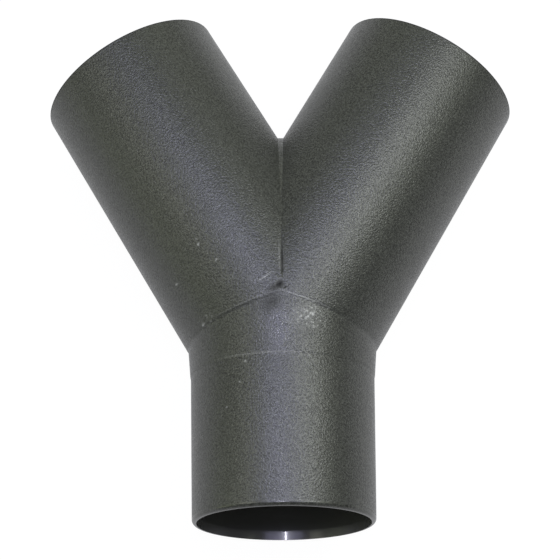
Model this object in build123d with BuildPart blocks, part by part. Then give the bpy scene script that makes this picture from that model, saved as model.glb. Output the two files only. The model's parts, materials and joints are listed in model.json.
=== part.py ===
"""Vacuum hose Y connector: one moulded piece with a tapered spigot and two socket arms.

The fitting lies flat, as it rests on a table. The axes of its three tubes meet at the junction
and share one level plane. The spigot points along -Y and the arms spread towards +Y.
"""

import os
from math import acos, atan2, cos, hypot, radians, sin, tan

from build123d import *

# Driving dimensions, in millimetres and degrees

spigot_mouth_diameter = 100.0  # outside of the spigot at its open end
spigot_taper = 2.6  # how much wider the spigot is at the ring line, across the outside
spigot_length = 81.5  # from the open end to the ring line
spigot_wall = 3.0  # at the open end, before the bore widens there
spigot_rim_rounding = 2.0  # lead-in round the outside of the open end
mouth_flare = 0.6  # how much the bore widens towards the open end
mouth_flare_length = 5.0

neck_length = 33.5  # from the ring line to the junction
ring_step = 0.25  # the neck stands this far proud of the spigot
mitre_step = 0.25  # the arms stand this far proud of the neck on top of the junction

branch_angle = 60.0  # between the two arms
arm_length = 178.0  # from the junction to the open end
arm_wall = 3.0
arm_rim_rounding = 0.8  # outside edge of the open end
socket_clearance = 0.2  # between an arm's bore and the thick end of a like spigot

crotch_land_depth = 3.0  # the land fills the sharp bottom of the V to this depth
crotch_land_fade = 0.3  # how far the land dips under the skin beside the junction
socket_bevel = 0.4  # inside edge of an arm's open end

# Sizes that follow from them

half_angle = radians(branch_angle / 2)
stem_length = spigot_length + neck_length

spigot_mouth_radius = spigot_mouth_diameter / 2
spigot_ring_radius = (spigot_mouth_diameter + spigot_taper) / 2
spigot_bore_radius = spigot_mouth_radius - spigot_wall

arm_bore_radius = spigot_ring_radius + socket_clearance
arm_radius = arm_bore_radius + arm_wall

neck_foot_radius = spigot_ring_radius + ring_step
neck_top_radius = arm_radius - mitre_step

# The origin lies under the middle of the fitting, on the surface that it rests on

arm_reach = arm_length * cos(half_angle) + arm_radius * sin(half_angle)
junction = Vector(0, (stem_length - arm_reach) / 2, arm_radius)

stem_plane = Plane(origin=junction, x_dir=(1, 0, 0), z_dir=(0, 0, 1))
middle_plane = Plane(origin=junction, x_dir=(0, 1, 0), z_dir=(1, 0, 0))
stem_axis = Axis(junction, (0, 1, 0))
arm_axes = [Axis(junction, (side * sin(half_angle), cos(half_angle), 0)) for side in (-1, 1)]


def forked_tube(stem_outline, tube_radius, mitre_angle, mitre_drop=0.0):
    """A solid Y: a turned stem and two round arms, cut along two mitre planes and joined there.

    The planes slope away from the axis of the stem, which they meet this far below the junction.
    """
    ridge = junction - Vector(0, mitre_drop, 0)
    mitres = [
        Plane(origin=ridge, x_dir=(0, 0, 1), z_dir=(side * sin(mitre_angle), cos(mitre_angle), 0))
        for side in (-1, 1)
    ]

    with BuildPart() as stem:
        with BuildSketch(stem_plane):
            with BuildLine():
                Polyline((0, -stem_length), *stem_outline, (0, 0), close=True)
            make_face()
        revolve(axis=stem_axis)
        for mitre in mitres:
            split(bisect_by=mitre, keep=Keep.BOTTOM)

    with BuildPart() as arms:
        # The right arm starts behind the junction and is cut back to its mitre and the middle
        along = arm_axes[1].direction
        with BuildSketch(Plane(origin=junction - along * tube_radius, x_dir=(0, 0, 1), z_dir=along)):
            Circle(tube_radius)
        extrude(amount=tube_radius + arm_length)
        split(bisect_by=mitres[1], keep=Keep.TOP)
        split(bisect_by=middle_plane, keep=Keep.TOP)
        mirror(about=middle_plane)

    with BuildPart() as fork:
        add(stem.part)
        add(arms.part)
    return fork.part


# Outside: the mitre halves the angle between the side of the neck and the side of an arm

neck_angle = atan2(neck_top_radius - neck_foot_radius, neck_length)
outside = forked_tube(
    stem_outline=[
        (spigot_mouth_radius, -stem_length),
        (spigot_ring_radius, -neck_length),
        (neck_foot_radius, -neck_length),
        (neck_top_radius, 0),
    ],
    tube_radius=arm_radius,
    mitre_angle=(half_angle + neck_angle) / 2,
)

# Bore: the neck's cone and both arms touch one ball about the junction, so that the cone meets
# each arm in a single plane, with no ledge in the way of the air

flare_angle = atan2(neck_length, spigot_bore_radius) - acos(
    arm_bore_radius / hypot(spigot_bore_radius, neck_length)
)
meeting_slope = cos(half_angle) + 1 / cos(flare_angle)
bore = forked_tube(
    stem_outline=[
        (spigot_bore_radius + mouth_flare, -stem_length),
        (spigot_bore_radius, mouth_flare_length - stem_length),
        (spigot_bore_radius, -neck_length),
        (arm_bore_radius / cos(flare_angle), 0),
    ],
    tube_radius=arm_bore_radius,
    mitre_angle=atan2(sin(half_angle), meeting_slope),
    mitre_drop=arm_bore_radius * tan(flare_angle) / meeting_slope,
)

with BuildPart() as y_connector:
    add(outside)

    # Land in the bottom of the V, widest at the crotch and gone before the junction
    with BuildSketch(middle_plane):
        with BuildLine():
            land_reach = arm_radius / sin(half_angle) + crotch_land_depth
            land_rise = arm_radius - crotch_land_fade
            EllipticalCenterArc((0, 0), land_reach, land_rise, start_angle=-90, arc_size=180)
            Line((0, land_rise), (0, -land_rise))
        make_face()
    extrude(amount=crotch_land_depth, both=True)

    add(bore, mode=Mode.SUBTRACT)

    # Rims: of the two edges of an end face, the longer is the outside and the shorter the bore
    for out, rim_rounding, bevel in [
        (Axis(junction, (0, -1, 0)), spigot_rim_rounding, None),
        (arm_axes[0], arm_rim_rounding, socket_bevel),
        (arm_axes[1], arm_rim_rounding, socket_bevel),
    ]:
        end_face = y_connector.faces().filter_by(GeomType.PLANE).sort_by(out)[-1]
        fillet(end_face.edges().sort_by(SortBy.LENGTH)[-1], rim_rounding)
        if bevel:
            end_face = y_connector.faces().filter_by(GeomType.PLANE).sort_by(out)[-1]
            chamfer(end_face.edges().sort_by(SortBy.LENGTH)[0], bevel)

os.makedirs("parts", exist_ok=True)
y_connector.part.label = "y_connector"
export_step(y_connector.part, "parts/y_connector.step")
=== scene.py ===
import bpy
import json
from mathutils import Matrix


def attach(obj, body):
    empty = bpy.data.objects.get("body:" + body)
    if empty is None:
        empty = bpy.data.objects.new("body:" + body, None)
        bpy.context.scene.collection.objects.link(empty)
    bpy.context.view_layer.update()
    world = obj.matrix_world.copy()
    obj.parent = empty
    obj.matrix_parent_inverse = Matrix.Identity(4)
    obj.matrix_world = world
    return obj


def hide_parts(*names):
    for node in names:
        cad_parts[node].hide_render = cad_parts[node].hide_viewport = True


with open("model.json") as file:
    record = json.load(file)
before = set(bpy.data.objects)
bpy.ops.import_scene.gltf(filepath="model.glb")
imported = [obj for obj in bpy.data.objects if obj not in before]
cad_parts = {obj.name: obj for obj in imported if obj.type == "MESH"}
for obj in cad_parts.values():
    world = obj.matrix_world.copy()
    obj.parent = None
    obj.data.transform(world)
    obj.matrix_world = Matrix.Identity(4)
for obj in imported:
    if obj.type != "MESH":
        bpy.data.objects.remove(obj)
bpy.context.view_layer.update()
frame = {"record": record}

import json
from math import acos, asin, atan2, cos, hypot, pi, radians, sin, sqrt, tan

import bmesh
import bpy
from mathutils import Matrix, Vector

mm = 0.001
touching = 1e-6  # metres; points closer than this count as one
cutMargin = 1e-7  # metres; the same, for a bisect

# the fitting's own sizes, in millimetres and degrees; the bores are radii too
fitting = {
    "mouthRadius": 50.0,  # spigot, outside, at its open end
    "ringRadius": 51.3,  # spigot, outside, at the ring line
    "spigotBore": 47.0,
    "mouthFlare": 0.6,  # how much the bore widens towards the spigot's open end
    "mouthFlareLength": 5.0,
    "flareLoop": 0.3,  # edge loops this far either side of the flare's start keep the shading crisp
    "spigotLength": 81.5,
    "spigotRounding": 2.0,
    "neckFoot": 51.55,  # neck, outside, just past the ring line
    "neckTop": 54.25,  # neck, outside, at the junction
    "neckLength": 33.5,
    "armRadius": 54.5,
    "armBore": 51.5,
    "armLength": 178.0,
    "armRounding": 0.8,
    "socketBevel": 0.4,
    "landDepth": 3.0,  # how far the land fills the bottom of the V
    "landFade": 0.3,  # how far it dips under the skin beside the junction
    "creaseWidth": 1.2,  # a fine groove runs on down the crease from the land
    "creaseDepth": 0.9,
    "creaseGrowth": 6.0,  # the groove is full where the land would lie this far under the crease
    "creaseEnd": 9.0,  # and stops this far up the V from the junction
    "ringLength": 2.2,  # the ring line and the mitres are soft steps, as moulded
    "stepLength": 2.8,
    "stepMargin": 0.01,  # what is shaped beside a mitre stays this clear of its step
    "strips": 288,  # faces round each tube
    "curveSteps": 8,  # faces along each rounding and soft step
    "sharpAngle": 12.0,  # edges that turn more than this stay crisp
    "boreFacing": 0.9,  # a bore face looks at its axis at least this squarely, as a cosine
}

# the junction and the right arm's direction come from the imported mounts
mounts = {mount["name"]: mount for mount in frame["record"]["mounts"]}
armAlong = Vector(mounts["right_socket"]["axis"]).normalized()
armPoint = Vector(mounts["right_socket"]["pos_m"])
junction = armPoint - armAlong * (armPoint.x / armAlong.x)
armSide = Vector((armAlong.y, -armAlong.x, 0))  # level and square to the arm, away from the other one
halfAngle = atan2(armAlong.x, armAlong.y)
stemLength = fitting["spigotLength"] + fitting["neckLength"]
print("junction at", [round(v / mm, 2) for v in junction])


# modelling tools: the right half is modelled from one tube, then mirrored

def deselectAll():
    if bpy.context.object and bpy.context.object.mode != "OBJECT":
        bpy.ops.object.mode_set(mode="OBJECT")
    bpy.ops.object.select_all(action="DESELECT")


def pick(piece, test):  # selects the vertices that pass, with their edges
    bm = bmesh.from_edit_mesh(piece.data)
    for v in bm.verts:
        v.select_set(test(v.co))
    bm.select_flush_mode()
    bmesh.update_edit_mesh(piece.data)


def shift(piece, place):  # moves the selected vertices to where place puts them
    bm = bmesh.from_edit_mesh(piece.data)
    for v in bm.verts:
        if v.select:
            v.co = place(v.co)
    bmesh.update_edit_mesh(piece.data)


def pull(piece, place):  # extrudes the selected edges, and the new ends go where place puts them
    bpy.ops.mesh.extrude_edges_move()
    shift(piece, place)


def pullCurve(piece, curve):  # extrudes in steps along a curve that begins where each vertex was
    steps = fitting["curveSteps"]
    bm = bmesh.from_edit_mesh(piece.data)
    start = bm.verts.layers.float_vector.new("start")
    for v in bm.verts:
        v[start] = v.co
    bmesh.update_edit_mesh(piece.data)
    for step in range(1, steps + 1):
        bpy.ops.mesh.extrude_edges_move()
        bm = bmesh.from_edit_mesh(piece.data)
        start = bm.verts.layers.float_vector["start"]
        for v in bm.verts:
            if v.select:
                v.co = curve(v[start].copy(), step / steps)
        bmesh.update_edit_mesh(piece.data)
    bm.verts.layers.float_vector.remove(start)
    bmesh.update_edit_mesh(piece.data)


def onStem(radius, height):  # keeps the angle round the stem's axis
    def place(co):
        out = Vector((co.x, 0, co.z - junction.z)).normalized()
        return Vector((0, junction.y + height * mm, junction.z)) + out * radius * mm
    return place


def outOfArm(co):  # straight out from the right arm's axis
    out = co - junction
    return out - armAlong * out.dot(armAlong)


def onArm(radius, distance):  # keeps the angle round the right arm's axis
    def place(co):
        return junction + armAlong * distance * mm + outOfArm(co).normalized() * radius * mm
    return place


def rounding(place, radius, end, size, outward):  # a quarter round at an open end
    def curve(start, t):
        turn = t * pi / 2
        return place(radius - size * (1 - cos(turn)), end + outward * size * (sin(turn) - 1))(start)
    return curve


def smoothStep(t):
    return t * t * (3 - 2 * t)


def armTube(name, mitrePoint, mitreNormal):  # the right arm's skin, cut along its mitre and the middle
    radius = fitting["armRadius"]
    length = fitting["armLength"] - fitting["armRounding"]
    deselectAll()
    bpy.ops.mesh.primitive_cylinder_add(
        vertices=fitting["strips"],
        radius=radius * mm,
        depth=(length + radius) * mm,
        end_fill_type="NOTHING",
        location=junction + armAlong * (length - radius) / 2 * mm,
        rotation=armAlong.to_track_quat("Z", "Y").to_euler(),
    )
    tube = bpy.context.object
    tube.name = tube.data.name = name
    bpy.ops.object.transform_apply(location=True, rotation=True, scale=True)
    bpy.ops.object.mode_set(mode="EDIT")
    for point, normal in ((mitrePoint, mitreNormal), (junction, Vector((1, 0, 0)))):
        bpy.ops.mesh.select_all(action="SELECT")
        bpy.ops.mesh.bisect(plane_co=point, plane_no=normal, clear_inner=True, threshold=cutMargin)
    return tube


def shapeCrease(piece, mitreNormal):  # the land in the bottom of the V, and the groove from it
    f = fitting
    reach = (f["armRadius"] / sin(halfAngle) + f["landDepth"]) * mm
    rise = (f["armRadius"] - f["landFade"]) * mm

    def landReach(co):  # how far the land stands out of the crease, along the stem
        height = min(1, abs(co.z - junction.z) / rise)
        return junction.y + reach * sqrt(1 - height * height) - co.y

    def grooveSize(co, size):  # grows from the land's end
        growth = -landReach(co) / (f["creaseGrowth"] * mm)
        return size * mm * min(1, max(0, growth)) if co.y - junction.y > f["creaseEnd"] * mm else 0

    def creasePoint(co):  # where a vertex beside the crease started
        return co - armAlong * (co.x / armAlong.x)

    def beside(co):  # along the middle, up the V from the mitre's soft step
        overMitre = (co - junction).dot(mitreNormal)
        return co.x < f["landDepth"] * mm and overMitre > (f["stepLength"] / 2 + f["stepMargin"]) * mm

    def openUp(co):
        halfWidth = grooveSize(co, f["creaseWidth"]) / 2
        return co + armAlong * max(0, landReach(co) / armAlong.y, halfWidth / armAlong.x)

    def toMiddle(co):
        start = creasePoint(co)
        if landReach(start) > 0:
            return Vector((0, co.y, co.z))
        out = outOfArm(start)
        inward = Vector((0, -out.y, -out.z)).normalized()
        return start + inward * grooveSize(start, f["creaseDepth"])

    pick(piece, beside)
    shift(piece, openUp)
    pick(piece, lambda co: beside(co) and co.x > touching)
    pull(piece, toMiddle)


def pullStem(piece, mitreNormal, neckAngle):  # soft mitre, neck, soft ring line, spigot, rounded mouth
    f = fitting
    half = f["stepLength"] / 2
    taper = (f["ringRadius"] - f["mouthRadius"]) / f["spigotLength"]
    neckSlope = tan(neckAngle)

    def neckRadius(height):
        return f["neckTop"] + neckSlope * height

    def spigotRadius(height):
        return f["mouthRadius"] + taper * (height + stemLength)

    def mitreCurve(start, t):  # from the arm's skin to the neck's, level with each at its end
        onPlane = start - Vector((0, half * mm / mitreNormal.y, 0)) - junction
        spread = hypot(onPlane.x, onPlane.z) - neckSlope * onPlane.y
        foot = junction + onPlane * f["neckTop"] * mm / spread
        height = (foot.y - junction.y) / mm - half / mitreNormal.y
        end = onStem(neckRadius(height), height)(foot)
        out = outOfArm(start).normalized()
        chord = end - start
        leave = chord - out * chord.dot(out)
        down = Vector((0, -1, 0)) - Vector((end.x, 0, end.z - junction.z)).normalized() * neckSlope
        arrive = down.normalized() * chord.length
        s = smoothStep(t)
        place = start.lerp(end, s) + leave * t * (1 - t) ** 2 - arrive * t * t * (1 - t)
        return place if start.x > touching else Vector((0, place.y, place.z))

    def ringCurve(start, t):
        height = f["ringLength"] * (0.5 - t) - f["neckLength"]
        s = smoothStep(t)
        return onStem(neckRadius(height) * (1 - s) + spigotRadius(height) * s, height)(start)

    pick(piece, lambda co: abs((co - junction).dot(mitreNormal) - half * mm) < touching)
    pullCurve(piece, mitreCurve)
    ringTop = f["ringLength"] / 2 - f["neckLength"]
    pull(piece, onStem(neckRadius(ringTop), ringTop))
    pullCurve(piece, ringCurve)
    lipHeight = f["spigotRounding"] - stemLength
    pull(piece, onStem(spigotRadius(lipHeight), lipHeight))
    pullCurve(piece, rounding(onStem, spigotRadius(lipHeight), -stemLength, f["spigotRounding"], -1))


def pullBore(piece):  # round the arm's rim and back through the bore to the spigot's mouth
    f = fitting
    # the neck's cone and both arms of the bore touch one ball, so they meet in plane mitres
    coneReach = hypot(f["spigotBore"], f["neckLength"])
    coneAngle = atan2(f["neckLength"], f["spigotBore"]) - acos(f["armBore"] / coneReach)
    lean = cos(halfAngle) + 1 / cos(coneAngle)
    mitreAngle = atan2(sin(halfAngle), lean)
    mitreNormal = Vector((sin(mitreAngle), cos(mitreAngle), 0))
    drop = f["armBore"] * tan(coneAngle) / lean  # the mitres meet this far down the stem from the junction
    ridge = junction - Vector((0, drop * mm, 0))
    apexTurn = asin(drop * sin(halfAngle) / f["armBore"])  # the ridge's end, as an angle round the arm

    def turnIn(co):  # the strips turn a little, so that one of them ends at the ridge
        out = co - junction
        turn = atan2(out.dot(armSide), out.z)
        turn = apexTurn + turn * (1 - 2 * apexTurn / pi if turn > 0 else 1 + 2 * apexTurn / pi)
        out = Vector((0, 0, cos(turn))) + armSide * sin(turn)
        return junction + (out * (f["armBore"] + f["socketBevel"]) + armAlong * f["armLength"]) * mm

    def toRidge(co):  # back along the arm to the mitre or the middle, whichever comes first
        toMitre = (ridge - co).dot(mitreNormal) / armAlong.dot(mitreNormal)
        return co + armAlong * max(toMitre, -co.x / armAlong.x)

    def onMitre(co):  # the bore's own edge, and not the outside where it crosses the same plane
        inside = (co - junction).length < f["armRadius"] * mm
        return inside and abs((co - ridge).dot(mitreNormal)) < touching

    tubeEnd = (f["armLength"] - f["armRounding"]) * mm
    pick(piece, lambda co: abs((co - junction).dot(armAlong) - tubeEnd) < touching)
    pullCurve(piece, rounding(onArm, f["armRadius"], f["armLength"], f["armRounding"], 1))
    pull(piece, turnIn)
    pull(piece, onArm(f["armBore"], f["armLength"] - f["socketBevel"]))
    pull(piece, toRidge)
    pick(piece, onMitre)
    pull(piece, onStem(f["spigotBore"], -f["neckLength"]))
    flareStart = f["mouthFlareLength"]
    for depth in (flareStart + f["flareLoop"], flareStart, flareStart - f["flareLoop"], 0):
        flared = f["mouthFlare"] * (1 - min(1, depth / flareStart))
        pull(piece, onStem(f["spigotBore"] + flared, depth - stemLength))
    pick(piece, lambda co: abs(co.y - junction.y + stemLength * mm) < touching)
    bpy.ops.mesh.bridge_edge_loops()  # the spigot's narrow end face


def makeFitting():
    f = fitting
    neckAngle = atan2(f["neckTop"] - f["neckFoot"], f["neckLength"])
    mitreAngle = (halfAngle + neckAngle) / 2
    mitreNormal = Vector((sin(mitreAngle), cos(mitreAngle), 0))
    piece = armTube("yConnector", junction + mitreNormal * f["stepLength"] / 2 * mm, mitreNormal)
    shapeCrease(piece, mitreNormal)
    pullStem(piece, mitreNormal, neckAngle)
    pullBore(piece)
    bpy.ops.object.mode_set(mode="OBJECT")
    bpy.ops.object.modifier_add(type="MIRROR")
    piece.modifiers[-1].merge_threshold = touching
    bpy.ops.object.modifier_apply(modifier=piece.modifiers[-1].name)
    bpy.ops.object.mode_set(mode="EDIT")
    bpy.ops.mesh.select_all(action="SELECT")
    bpy.ops.mesh.remove_doubles(threshold=touching)
    bpy.ops.mesh.fill_holes(sides=4)  # the pointed ends of the land and the groove
    bpy.ops.mesh.normals_make_consistent(inside=False)
    bpy.ops.object.mode_set(mode="OBJECT")
    bpy.ops.object.shade_smooth_by_angle(angle=radians(f["sharpAngle"]))
    return piece


piece = makeFitting()
print("fitting:", len(piece.data.vertices), "vertices,", len(piece.data.polygons), "faces")


def isBore(face):  # the bore's faces look back at their own tube's axis
    c = face.center - junction
    along = Vector((armAlong.x if c.x > 0 else -armAlong.x, armAlong.y, 0))
    for axis in (along, Vector((0, -1, 0))):
        out = c - axis * c.dot(axis)
        inside = c.dot(axis) > 0 and out.length < (fitting["armBore"] + fitting["socketBevel"] / 2) * mm
        if inside and face.normal.dot(out.normalized()) < -fitting["boreFacing"]:
            return True
    return False


for face in piece.data.polygons:
    face.material_index = int(isBore(face))
print("bore faces:", sum(face.material_index for face in piece.data.polygons))


# finishes

def linear(hexColour):  # an sRGB hex value as linear light
    parts = [int(hexColour[i:i + 2], 16) / 255 for i in (1, 3, 5)]
    return (*(c / 12.92 if c <= 0.04045 else ((c + 0.055) / 1.055) ** 2.4 for c in parts), 1)


# adds a node with its settings; each input takes a link or a value, and _2 is the input at index 2
def addNode(tree, kind, settings=None, **inputs):
    node = tree.nodes.new(kind)
    for key, value in (settings or {}).items():
        setattr(node, key, value)
    for key, value in inputs.items():
        socket = node.inputs[int(key[1:])] if key[0] == "_" else node.inputs[key.replace("_", " ")]
        if isinstance(value, bpy.types.NodeSocket):
            tree.links.new(value, socket)
        else:
            socket.default_value = value
    return node


multiply = {"operation": "MULTIPLY"}
multiplyAdd = {"operation": "MULTIPLY_ADD"}
subtract = {"operation": "SUBTRACT"}
colours = {"data_type": "RGBA"}  # a Mix of colours has them at inputs 6 and 7, and its result at output 2
noiseMiddle = 0.5  # what a noise texture gives on average


def newMaterial(name):
    material = bpy.data.materials.new(name)
    material.use_nodes = True
    material.node_tree.nodes.clear()
    return material, material.node_tree


# ABS moulded in a spark-eroded tool: charcoal, with a fine matt grain that breaks up the highlights
grainedAbs = {
    "colour": "#262722",
    "speckColour": "#4e5048",  # the tops of the grain
    "roughness": 0.325,
    "ior": 1.57,
    "grainWidth": 0.95,  # mm; the real grain is finer, and is drawn this coarse so that it shows
    "grainDetail": 1.5,
    "grainBreakup": 0.6,
    "grainDepth": 0.3,  # mm
    "grainShine": 0.35,  # the tops of the grain are this much smoother than its pits
    "topsRange": (0.35, 0.7),  # from pit to top, in the grain's noise
    "patchWidth": 14.0,  # mm, slow change over the surface
    "patchDetail": 3.0,
    "patchRange": (0.3, 0.7),
    "patchRoughness": 0.02,  # how far the roughness drifts either way
    "brokenRange": (0.2, 0.5),  # the grain's pits keep their colour under a pale mark
    "fleckWidth": 1.7,  # mm, in a scuff
    "fleckDetail": 2.0,
    "fleckRange": (0.5, 0.66),
    "rimRoughness": 0.23,  # the open ends are smooth, past the grain
    "rimBand": (1.4, 0.9),  # where that starts and is full, in roundings from the open end
    "cuffRoughness": 0.7,  # the outer edges of the arms' ends are made dull and dark
    "cuffDarkening": 0.9,
    "cuffBand": (0.02, 0.2),  # where that starts and is full, in roundings from the open end
    "paleColour": "#c4c5bd",  # bruised plastic turns pale; the same colour paints highlights along the soft steps and the crease
    # painted shade in the dark marks, and the darkened outer edges of the arms' ends
    "shadeAndCuffColour": "#0a0a08",
}

# marks as soft ovals, seen from above: handling marks, painted highlights and painted shade, in millimetres
# from the junction, with x towards the right arm and y up the V; the pale share is how much of the pale
# colour shows, as bruises and as painted highlights, the dark share how much of the dark colour shows, as
# painted shade, scuff is pale in flecks, rough adds to the roughness, and dent is a depth in millimetres
marks = {
    # the light lines along the ring, the mitres and the crease are painted highlights
    "ringLine": {"at": (-9, -33.3), "size": (62, 1.5), "turn": 0, "pale": 0.24},
    "rightMitre": {"at": (12, -3.6), "size": (32, 1.5), "turn": -17, "pale": 0.45},
    "leftMitre": {"at": (-20, -5.0), "size": (44, 1.2), "turn": 17, "pale": 0.16},
    # the dark lines beside the left mitre and down the crease are painted shade
    "leftShade": {"at": (-19, -6.2), "size": (48, 1.8), "turn": 17, "rough": 0.22, "paintedShade": 0.18},
    "creaseEdge": {"at": (-1.5, 20), "size": (28, 1.0), "turn": 90, "pale": 0.2},
    "creaseShade": {"at": (0.2, 21), "size": (32, 2.2), "turn": 90, "rough": 0.5, "paintedShade": 0.5},
    "creaseGlint": {"at": (-0.1, 14), "size": (9, 0.8), "turn": 90, "pale": 0.3},
    "scratch": {"at": (-9.7, 7.6), "size": (9, 1.0), "turn": 28, "pale": 0.6},
    "scratchTail": {"at": (-7.0, 10.0), "size": (5, 0.8), "turn": 32, "pale": 0.3},
    "scuff": {"at": (17, -14.5), "size": (18, 16), "turn": 80, "scuff": 0.4},
    "scuffSpread": {"at": (12.5, -12.5), "size": (32, 18), "turn": 25, "scuff": 0.35},
    "scuffHaze": {"at": (13, -12.5), "size": (28, 18), "turn": 30, "pale": 0.09},
    "sideScuff": {"at": (-40, -10), "size": (12, 8), "turn": 30, "scuff": 0.3},
    "leftSpeck": {"at": (-45.5, 29), "size": (2.6, 1.8), "turn": 70, "pale": 0.6},
    "upperSpeck": {"at": (-46.5, 32), "size": (2.0, 1.2), "turn": 110, "pale": 0.4},
    "midSpeck": {"at": (-35.5, 19.5), "size": (2.6, 1.5), "turn": 60, "pale": 0.5},
    "sideSpeck": {"at": (-58, 12), "size": (2.2, 1.6), "turn": 0, "pale": 0.6},
    "neckSpeck": {"at": (-43, -12), "size": (3.0, 1.6), "turn": 40, "pale": 0.5},
    "highSpeck": {"at": (-20, -37), "size": (2.0, 1.6), "turn": 90, "pale": 0.5},
    "lowSpeck": {"at": (-23, -48), "size": (2.0, 1.4), "turn": 0, "pale": 0.4},
    "lastSpeck": {"at": (-30, -60.5), "size": (1.8, 1.4), "turn": 0, "pale": 0.4},
    # the dark marks round the dent at the foot of the V are painted shade; the dent itself is a bump
    "pit": {"at": (-1.1, 3.8), "size": (7, 5), "turn": 70, "rough": 0.5, "paintedShade": 1.0, "dent": 0.35},
    "pitFoot": {"at": (1.4, 1.8), "size": (3, 1.6), "turn": 35, "rough": 0.5, "paintedShade": 1.0, "dent": 0.2},
    "pitSide": {"at": (-4.2, 2.2), "size": (10, 5), "turn": 25, "rough": 0.35, "paintedShade": 0.7},
    "apexShade": {"at": (-5.5, -6), "size": (17, 14), "turn": 50, "rough": 0.3, "paintedShade": 0.6},
    "neckShine": {"at": (-1.5, -19), "size": (26, 16), "turn": 90, "rough": -0.2},
}


def sumMarks(tree, place, kind, start):  # adds up the marks of one kind
    total = start
    for mark in marks.values():
        if kind in mark:
            x, y = mark["at"]
            length, width = mark["size"]
            spot = addNode(
                tree, "ShaderNodeMapping", {"vector_type": "TEXTURE"}, Vector=place,
                Location=junction + Vector((x, y, 0)) * mm,
                Rotation=(0, 0, radians(mark["turn"])),
                Scale=(length / 2 * mm, width / 2 * mm, 1),
            ).outputs[0]
            oval = addNode(tree, "ShaderNodeTexGradient", {"gradient_type": "SPHERICAL"}, Vector=spot)
            total = addNode(
                tree, "ShaderNodeMath", multiplyAdd, _0=oval.outputs["Fac"], _1=mark[kind], _2=total,
            ).outputs[0]
    return total


def rimMasks(tree, place, look):  # the open ends, by the distance along each tube
    spread = addNode(tree, "ShaderNodeVectorMath", subtract, _0=place, _1=junction).outputs[0]
    spread = addNode(tree, "ShaderNodeVectorMath", {"operation": "ABSOLUTE"}, _0=spread).outputs[0]
    arm = {"along": armAlong, "length": fitting["armLength"], "rounding": fitting["armRounding"]}
    spigot = {"along": Vector((0, 1, 0)), "length": stemLength, "rounding": fitting["spigotRounding"]}
    masks = []
    for tube, band in ((arm, look["rimBand"]), (arm, look["cuffBand"]), (spigot, look["rimBand"])):
        start, full = band
        distance = addNode(
            tree, "ShaderNodeVectorMath", {"operation": "DOT_PRODUCT"}, _0=spread, _1=tube["along"],
        ).outputs["Value"]
        masks.append(addNode(
            tree, "ShaderNodeMapRange", Value=distance,
            From_Min=(tube["length"] - start * tube["rounding"]) * mm,
            From_Max=(tube["length"] - full * tube["rounding"]) * mm,
        ).outputs["Result"])
    armRim, armOuter, spigotRim = masks

    # the spigot's test only holds on its own side of the junction
    upStem = addNode(tree, "ShaderNodeSeparateXYZ", Vector=place).outputs["Y"]
    below = addNode(tree, "ShaderNodeMath", {"operation": "LESS_THAN"}, _0=upStem, _1=junction.y).outputs[0]
    spigotRim = addNode(tree, "ShaderNodeMath", multiply, _0=spigotRim, _1=below).outputs[0]
    rim = addNode(tree, "ShaderNodeMath", {"operation": "MAXIMUM"}, _0=armRim, _1=spigotRim).outputs[0]
    cuff = addNode(tree, "ShaderNodeMath", multiply, _0=armRim, _1=armOuter).outputs[0]  # not the end face
    return rim, cuff


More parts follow.
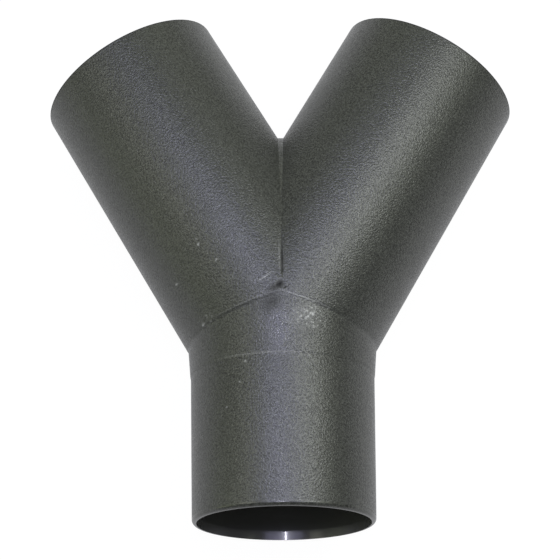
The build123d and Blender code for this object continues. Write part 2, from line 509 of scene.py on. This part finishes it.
def makeGrainedAbs():
    look = grainedAbs
    material, tree = newMaterial("grainedAbs")
    place = addNode(tree, "ShaderNodeTexCoord").outputs["Object"]
    grain = addNode(
        tree, "ShaderNodeTexNoise", Vector=place, Scale=1 / (look["grainWidth"] * mm),
        Detail=look["grainDetail"], Roughness=look["grainBreakup"],
    ).outputs["Fac"]
    patch = addNode(
        tree, "ShaderNodeTexNoise", Vector=place, Scale=1 / (look["patchWidth"] * mm),
        Detail=look["patchDetail"],
    ).outputs["Fac"]
    fleck = addNode(
        tree, "ShaderNodeTexNoise", Vector=place, Scale=1 / (look["fleckWidth"] * mm),
        Detail=look["fleckDetail"],
    ).outputs["Fac"]
    rim, cuff = rimMasks(tree, place, look)

    # masks from the noises, 0 to 1
    low, high = look["topsRange"]
    tops = addNode(tree, "ShaderNodeMapRange", Value=grain, From_Min=low, From_Max=high).outputs["Result"]
    low, high = look["brokenRange"]
    broken = addNode(tree, "ShaderNodeMapRange", Value=grain, From_Min=low, From_Max=high).outputs["Result"]
    low, high = look["fleckRange"]
    fleck = addNode(tree, "ShaderNodeMapRange", Value=fleck, From_Min=low, From_Max=high).outputs["Result"]

    # the colours and dents of the marks stay on the top half, and the grain breaks up the pale ones,
    # bruises and painted highlights alike; the dark ones are painted shade
    level = addNode(tree, "ShaderNodeSeparateXYZ", Vector=place).outputs["Z"]
    onTop = addNode(
        tree, "ShaderNodeMath", {"operation": "GREATER_THAN"}, _0=level, _1=junction.z,
    ).outputs[0]
    scuff = sumMarks(tree, place, "scuff", 0.0)
    pale = sumMarks(tree, place, "pale", 0.0)
    pale = addNode(tree, "ShaderNodeMath", multiplyAdd, _0=fleck, _1=scuff, _2=pale).outputs[0]
    paleBrokenUp = addNode(tree, "ShaderNodeMath", multiply, _0=onTop, _1=broken).outputs[0]
    pale = addNode(tree, "ShaderNodeMath", multiply, _0=paleBrokenUp, _1=pale).outputs[0]
    paintedShade = sumMarks(tree, place, "paintedShade", 0.0)
    paintedShade = addNode(tree, "ShaderNodeMath", multiply, _0=onTop, _1=paintedShade).outputs[0]
    dents = sumMarks(tree, place, "dent", 0.0)
    dents = addNode(tree, "ShaderNodeMath", multiply, _0=dents, _1=onTop).outputs[0]
    cuffDarkening = addNode(tree, "ShaderNodeMath", multiply, _0=cuff, _1=look["cuffDarkening"]).outputs[0]

    # colour: each layer covers the ones before it: grain tops, painted shade, bruises and painted
    # highlights, then the darkened outer edges of the arms' ends
    colour = linear(look["colour"])
    for share, name in (
        (tops, "speckColour"), (paintedShade, "shadeAndCuffColour"), (pale, "paleColour"), (cuffDarkening, "shadeAndCuffColour"),
    ):
        colour = addNode(
            tree, "ShaderNodeMix", colours, _0=share, _6=colour, _7=linear(look[name]),
        ).outputs[2]

    # gloss: slow patches, smoother tops of the grain, then the marks, above and below, and the open ends
    low, high = look["patchRange"]
    rough = addNode(
        tree, "ShaderNodeMapRange", Value=patch, From_Min=low, From_Max=high,
        To_Min=look["roughness"] - look["patchRoughness"],
        To_Max=look["roughness"] + look["patchRoughness"],
    ).outputs["Result"]
    shine = addNode(tree, "ShaderNodeMath", subtract, _0=grain, _1=noiseMiddle).outputs[0]
    rough = addNode(
        tree, "ShaderNodeMath", multiplyAdd, _0=shine, _1=-look["grainShine"], _2=rough,
    ).outputs[0]
    rough = sumMarks(tree, place, "rough", rough)
    rough = addNode(tree, "ShaderNodeMix", _0=rim, _2=rough, _3=look["rimRoughness"]).outputs[0]
    rough = addNode(tree, "ShaderNodeMix", _0=cuff, _2=rough, _3=look["cuffRoughness"]).outputs[0]

    # relief in millimetres: the grain, which stops at the open ends, less the dents
    relief = addNode(tree, "ShaderNodeMix", _0=rim, _2=grain, _3=noiseMiddle).outputs[0]
    relief = addNode(tree, "ShaderNodeMath", multiply, _0=relief, _1=look["grainDepth"]).outputs[0]
    relief = addNode(tree, "ShaderNodeMath", subtract, _0=relief, _1=dents).outputs[0]
    bump = addNode(tree, "ShaderNodeBump", Height=relief, Distance=mm, Strength=1.0)
    shader = addNode(
        tree, "ShaderNodeBsdfPrincipled", Base_Color=colour, Roughness=rough,
        IOR=look["ior"], Normal=bump.outputs["Normal"],
    )
    addNode(tree, "ShaderNodeOutputMaterial", Surface=shader.outputs[0])
    return material


# the same ABS against a polished core: a satin shine under a thin glossier skin, so the lamps show
# as sharp streaks with a soft halo where the bore widens
polishedAbs = {
    "colour": "#52534d",
    "roughness": 0.26,
    "ior": 1.57,
    "skin": 0.18,  # how much of the glossier skin shows
    "skinRoughness": 0.09,
    "patchWidth": 9.0,  # mm, slow change over the surface
    "patchDetail": 3.0,
    "patchRange": (0.3, 0.7),
    "patchRoughness": 0.01,  # how far the roughness drifts either way
}


def makePolishedAbs():
    look = polishedAbs
    material, tree = newMaterial("polishedAbs")
    place = addNode(tree, "ShaderNodeTexCoord").outputs["Object"]
    patch = addNode(
        tree, "ShaderNodeTexNoise", Vector=place, Scale=1 / (look["patchWidth"] * mm),
        Detail=look["patchDetail"],
    ).outputs["Fac"]
    low, high = look["patchRange"]
    rough = addNode(
        tree, "ShaderNodeMapRange", Value=patch, From_Min=low, From_Max=high,
        To_Min=look["roughness"] - look["patchRoughness"],
        To_Max=look["roughness"] + look["patchRoughness"],
    ).outputs["Result"]
    shader = addNode(
        tree, "ShaderNodeBsdfPrincipled", Base_Color=linear(look["colour"]), Roughness=rough,
        IOR=look["ior"], Coat_Weight=look["skin"], Coat_Roughness=look["skinRoughness"],
    )
    addNode(tree, "ShaderNodeOutputMaterial", Surface=shader.outputs[0])
    return material


piece.data.materials.append(makeGrainedAbs())
piece.data.materials.append(makePolishedAbs())
print("finishes:", [material.name for material in piece.data.materials])

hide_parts("y_connector")
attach(piece, "root")

# white paper floor: glows plain white to the camera, and by half in reflections; the little that the
# camera sees of the sheet itself keeps a trace of the shadow
whitePaper = {
    "width": 8.0,  # metres
    "sheet": 0.5,  # how much of the light the sheet gives back
    "glow": 1.08,
    "seenShare": 0.9,  # of the glow, to the camera
    "mirroredShare": 0.5,  # of the glow, in reflections
}


def makeWhitePaper():
    look = whitePaper
    material, tree = newMaterial("whitePaper")
    rays = addNode(tree, "ShaderNodeLightPath").outputs
    share = addNode(
        tree, "ShaderNodeMath", multiply, _0=rays["Is Camera Ray"], _1=look["seenShare"],
    ).outputs[0]
    share = addNode(
        tree, "ShaderNodeMath", multiplyAdd, _0=rays["Is Glossy Ray"], _1=look["mirroredShare"], _2=share,
    ).outputs[0]
    sheet = addNode(tree, "ShaderNodeBsdfDiffuse", Color=(look["sheet"], look["sheet"], look["sheet"], 1))
    glow = addNode(tree, "ShaderNodeEmission", Strength=look["glow"])
    both = addNode(tree, "ShaderNodeMixShader", Fac=share, _1=sheet.outputs[0], _2=glow.outputs[0])
    addNode(tree, "ShaderNodeOutputMaterial", Surface=both.outputs[0])
    return material


deselectAll()
bpy.ops.mesh.primitive_plane_add(size=whitePaper["width"])
floor = bpy.context.object
floor.name = floor.data.name = "floor"
floor.data.materials.append(makeWhitePaper())
print("floor:", whitePaper["width"], "m wide")

# studio: a dim even fill, and white where the camera looks past the floor
studio = {"fill": 0.09, "backdrop": 1.0}
world = bpy.data.worlds.new("studio")
bpy.context.scene.world = world
world.use_nodes = True
tree = world.node_tree
tree.nodes.clear()
seen = addNode(tree, "ShaderNodeLightPath").outputs["Is Camera Ray"]
fill = addNode(tree, "ShaderNodeBackground", Color=(1, 1, 1, 1), Strength=studio["fill"])
backdrop = addNode(tree, "ShaderNodeBackground", Color=(1, 1, 1, 1), Strength=studio["backdrop"])
both = addNode(tree, "ShaderNodeMixShader", Fac=seen, _1=fill.outputs[0], _2=backdrop.outputs[0])
addNode(tree, "ShaderNodeOutputWorld", Surface=both.outputs[0])

# lamps: an arch of soft boxes from left to right over the fitting, a small ceiling lamp with two
# strips for the streak and its halo in the spigot's mouth, a box in front, a box and a window behind,
# and a low window at the left; tilt is from straight up and azimuth clockwise from +Y, seen from
# above, with power in watts and size as width and depth in metres
lamps = {
    "ceilingLamp": {"tilt": 7.5, "azimuth": 198, "power": 2.6, "size": (0.05, 0.05), "colour": "#eeeeff"},
    "shortStrip": {"tilt": 7.5, "azimuth": 180, "power": 1.0, "size": (0.7, 0.15), "colour": "#d2d0ff"},
    "longStrip": {"tilt": 7.5, "azimuth": 180, "power": 2.6, "size": (1.6, 0.15), "colour": "#d2d0ff"},
    "frontBox": {"tilt": 17, "azimuth": 180, "power": 1.6, "size": (1.4, 0.3), "colour": "#e4e6ff"},
    "topBox": {"tilt": 11, "azimuth": 335, "power": 4.9, "size": (0.6, 0.6), "colour": "#d4d6ff"},
    "rightBox": {"tilt": 29, "azimuth": 70, "power": 10.4, "size": (0.8, 1.0), "colour": "#fafdfc"},
    "farRightBox": {"tilt": 46, "azimuth": 78, "power": 2.4, "size": (0.9, 0.9), "colour": "#f8ffe0"},
    "leftBox": {"tilt": 22, "azimuth": 300, "power": 3.6, "size": (0.9, 0.9), "colour": "#eef0ff"},
    "farLeftBox": {"tilt": 45, "azimuth": 272, "power": 2.7, "size": (0.7, 0.7), "colour": "#fdffe8"},
    "backBox": {"tilt": 50, "azimuth": 10, "power": 0.9, "size": (0.9, 0.9), "colour": "#f8ffe0"},
    "backWindow": {"tilt": 70, "azimuth": 0, "power": 2.0, "size": (2.6, 0.5), "colour": "#f8ffe0"},
    "lowWindow": {"tilt": 76, "azimuth": 262, "power": 1.8, "size": (0.9, 0.9), "colour": "#f4ffd2"},
}
lampDistance = 1.6  # metres from the junction
for name, lamp in lamps.items():
    light = bpy.data.lights.new(name, "AREA")
    light.shape = "ELLIPSE"
    light.size, light.size_y = lamp["size"]
    light.energy = lamp["power"]
    light.color = linear(lamp["colour"])[:3]
    holder = bpy.data.objects.new(name, light)
    tilt = radians(lamp["tilt"])
    azimuth = radians(lamp["azimuth"])
    out = Vector((sin(tilt) * sin(azimuth), sin(tilt) * cos(azimuth), cos(tilt)))
    holder.location = junction + out * lampDistance
    holder.rotation_euler = out.to_track_quat("Z", "Y").to_euler()
    bpy.context.scene.collection.objects.link(holder)
print("lamps:", len(lamps))

# camera, as the photograph was taken: aim, distance and lens in millimetres, angles in degrees
view = {
    "aim": (-0.99, -7.67, 54.5),
    "distance": 894.2,
    "elevation": 70.08,
    "turn": -0.576,
    "roll": 0.071,
    "lens": 100.41,
}
camera = bpy.data.objects.new("camera", bpy.data.cameras.new("camera"))
camera.data.lens = view["lens"]
turned = (
    Matrix.Rotation(radians(view["turn"]), 4, "Z")
    @ Matrix.Rotation(radians(90 - view["elevation"]), 4, "X")
    @ Matrix.Rotation(radians(view["roll"]), 4, "Z")
)
aim = Vector(view["aim"]) * mm
back = turned.to_3x3() @ Vector((0, 0, view["distance"] * mm))
camera.matrix_world = Matrix.Translation(aim + back) @ turned
bpy.context.scene.collection.objects.link(camera)
bpy.context.scene.camera = camera
bpy.context.scene.view_settings.view_transform = "Standard"
print("camera:", [round(v, 3) for v in camera.matrix_world.translation])
